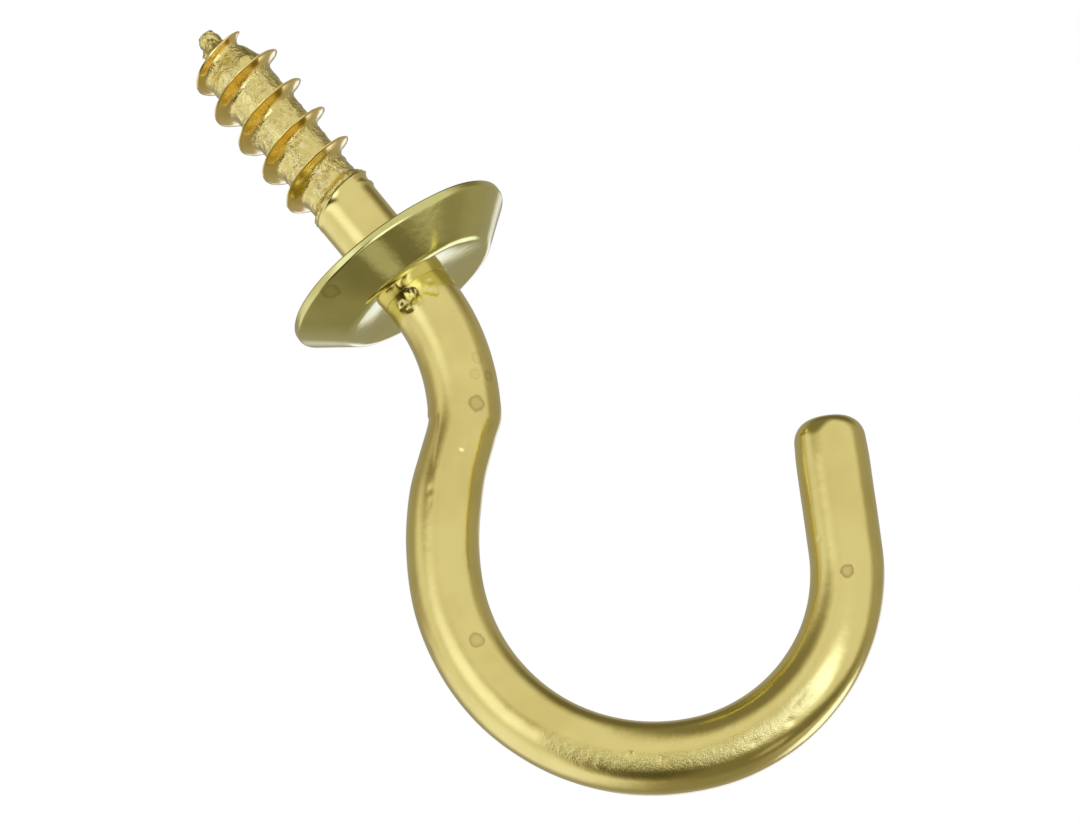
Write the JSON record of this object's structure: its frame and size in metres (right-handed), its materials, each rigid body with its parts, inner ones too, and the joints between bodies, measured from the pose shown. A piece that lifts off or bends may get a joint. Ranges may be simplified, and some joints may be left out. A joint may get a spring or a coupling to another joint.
{
  "type": "cup hook",
  "caption": "Screw-in brass cup hook: a bent wire hook with a rolled wood-screw thread, and a dished collar that seats on the wall.",
  "frame": {"origin": "centre of the collar's rim, on the plane that lies against the wall or shelf, on the screw's axis", "axes": "+Z along the screw from the wall plane to its tip, so the hook hangs below; the hook is bent in the XZ plane and opens towards +X; +Y is square to the hook's plane"},
  "size_m": [0.0235, 0.0122, 0.0472],
  "materials": {
    "wire_brass": "bright drawn and tumbled brass under a thin clear lacquer, pale straw gold",
    "collar_brass": "bright stamped brass, slightly greener than the wire"
  },
  "bodies": {
    "root": {"hook_wire": "wire_brass", "collar": "collar_brass"}
  },
  "joints": []
}
